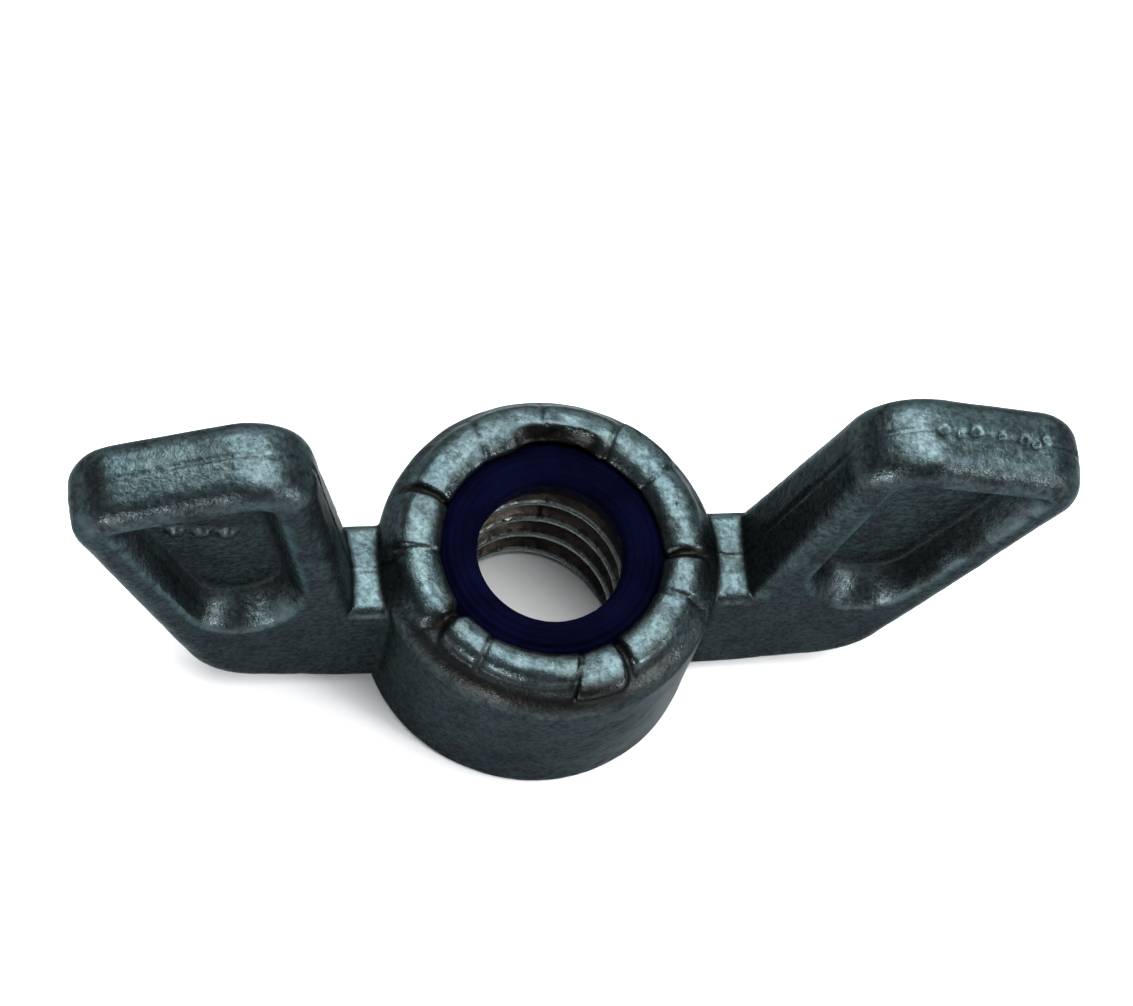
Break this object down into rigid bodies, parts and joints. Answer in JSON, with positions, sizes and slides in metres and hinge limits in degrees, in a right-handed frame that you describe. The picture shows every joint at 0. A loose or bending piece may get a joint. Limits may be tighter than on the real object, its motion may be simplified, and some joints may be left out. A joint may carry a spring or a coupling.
{
  "type": "wing nut",
  "caption": "Die-cast wing nut with recessed finger wings and a nylon locking ring crimped into the top of its threaded hub.",
  "frame": {"origin": "centre of the bore at the hub's seating face", "axes": "+Z along the bore, from the seating face towards the locking insert and the wing tips; +X along the two wings"},
  "size_m": [0.0322, 0.011, 0.0151],
  "materials": {
    "zinc_casting": "dull blue-grey die-cast zinc, mottled, with bright worn edges",
    "navy_nylon": "dark blue-violet nylon, satin, with fine turning marks"
  },
  "bodies": {
    "root": {"wing_nut_body": "zinc_casting", "locking_insert": "navy_nylon"}
  },
  "joints": []
}
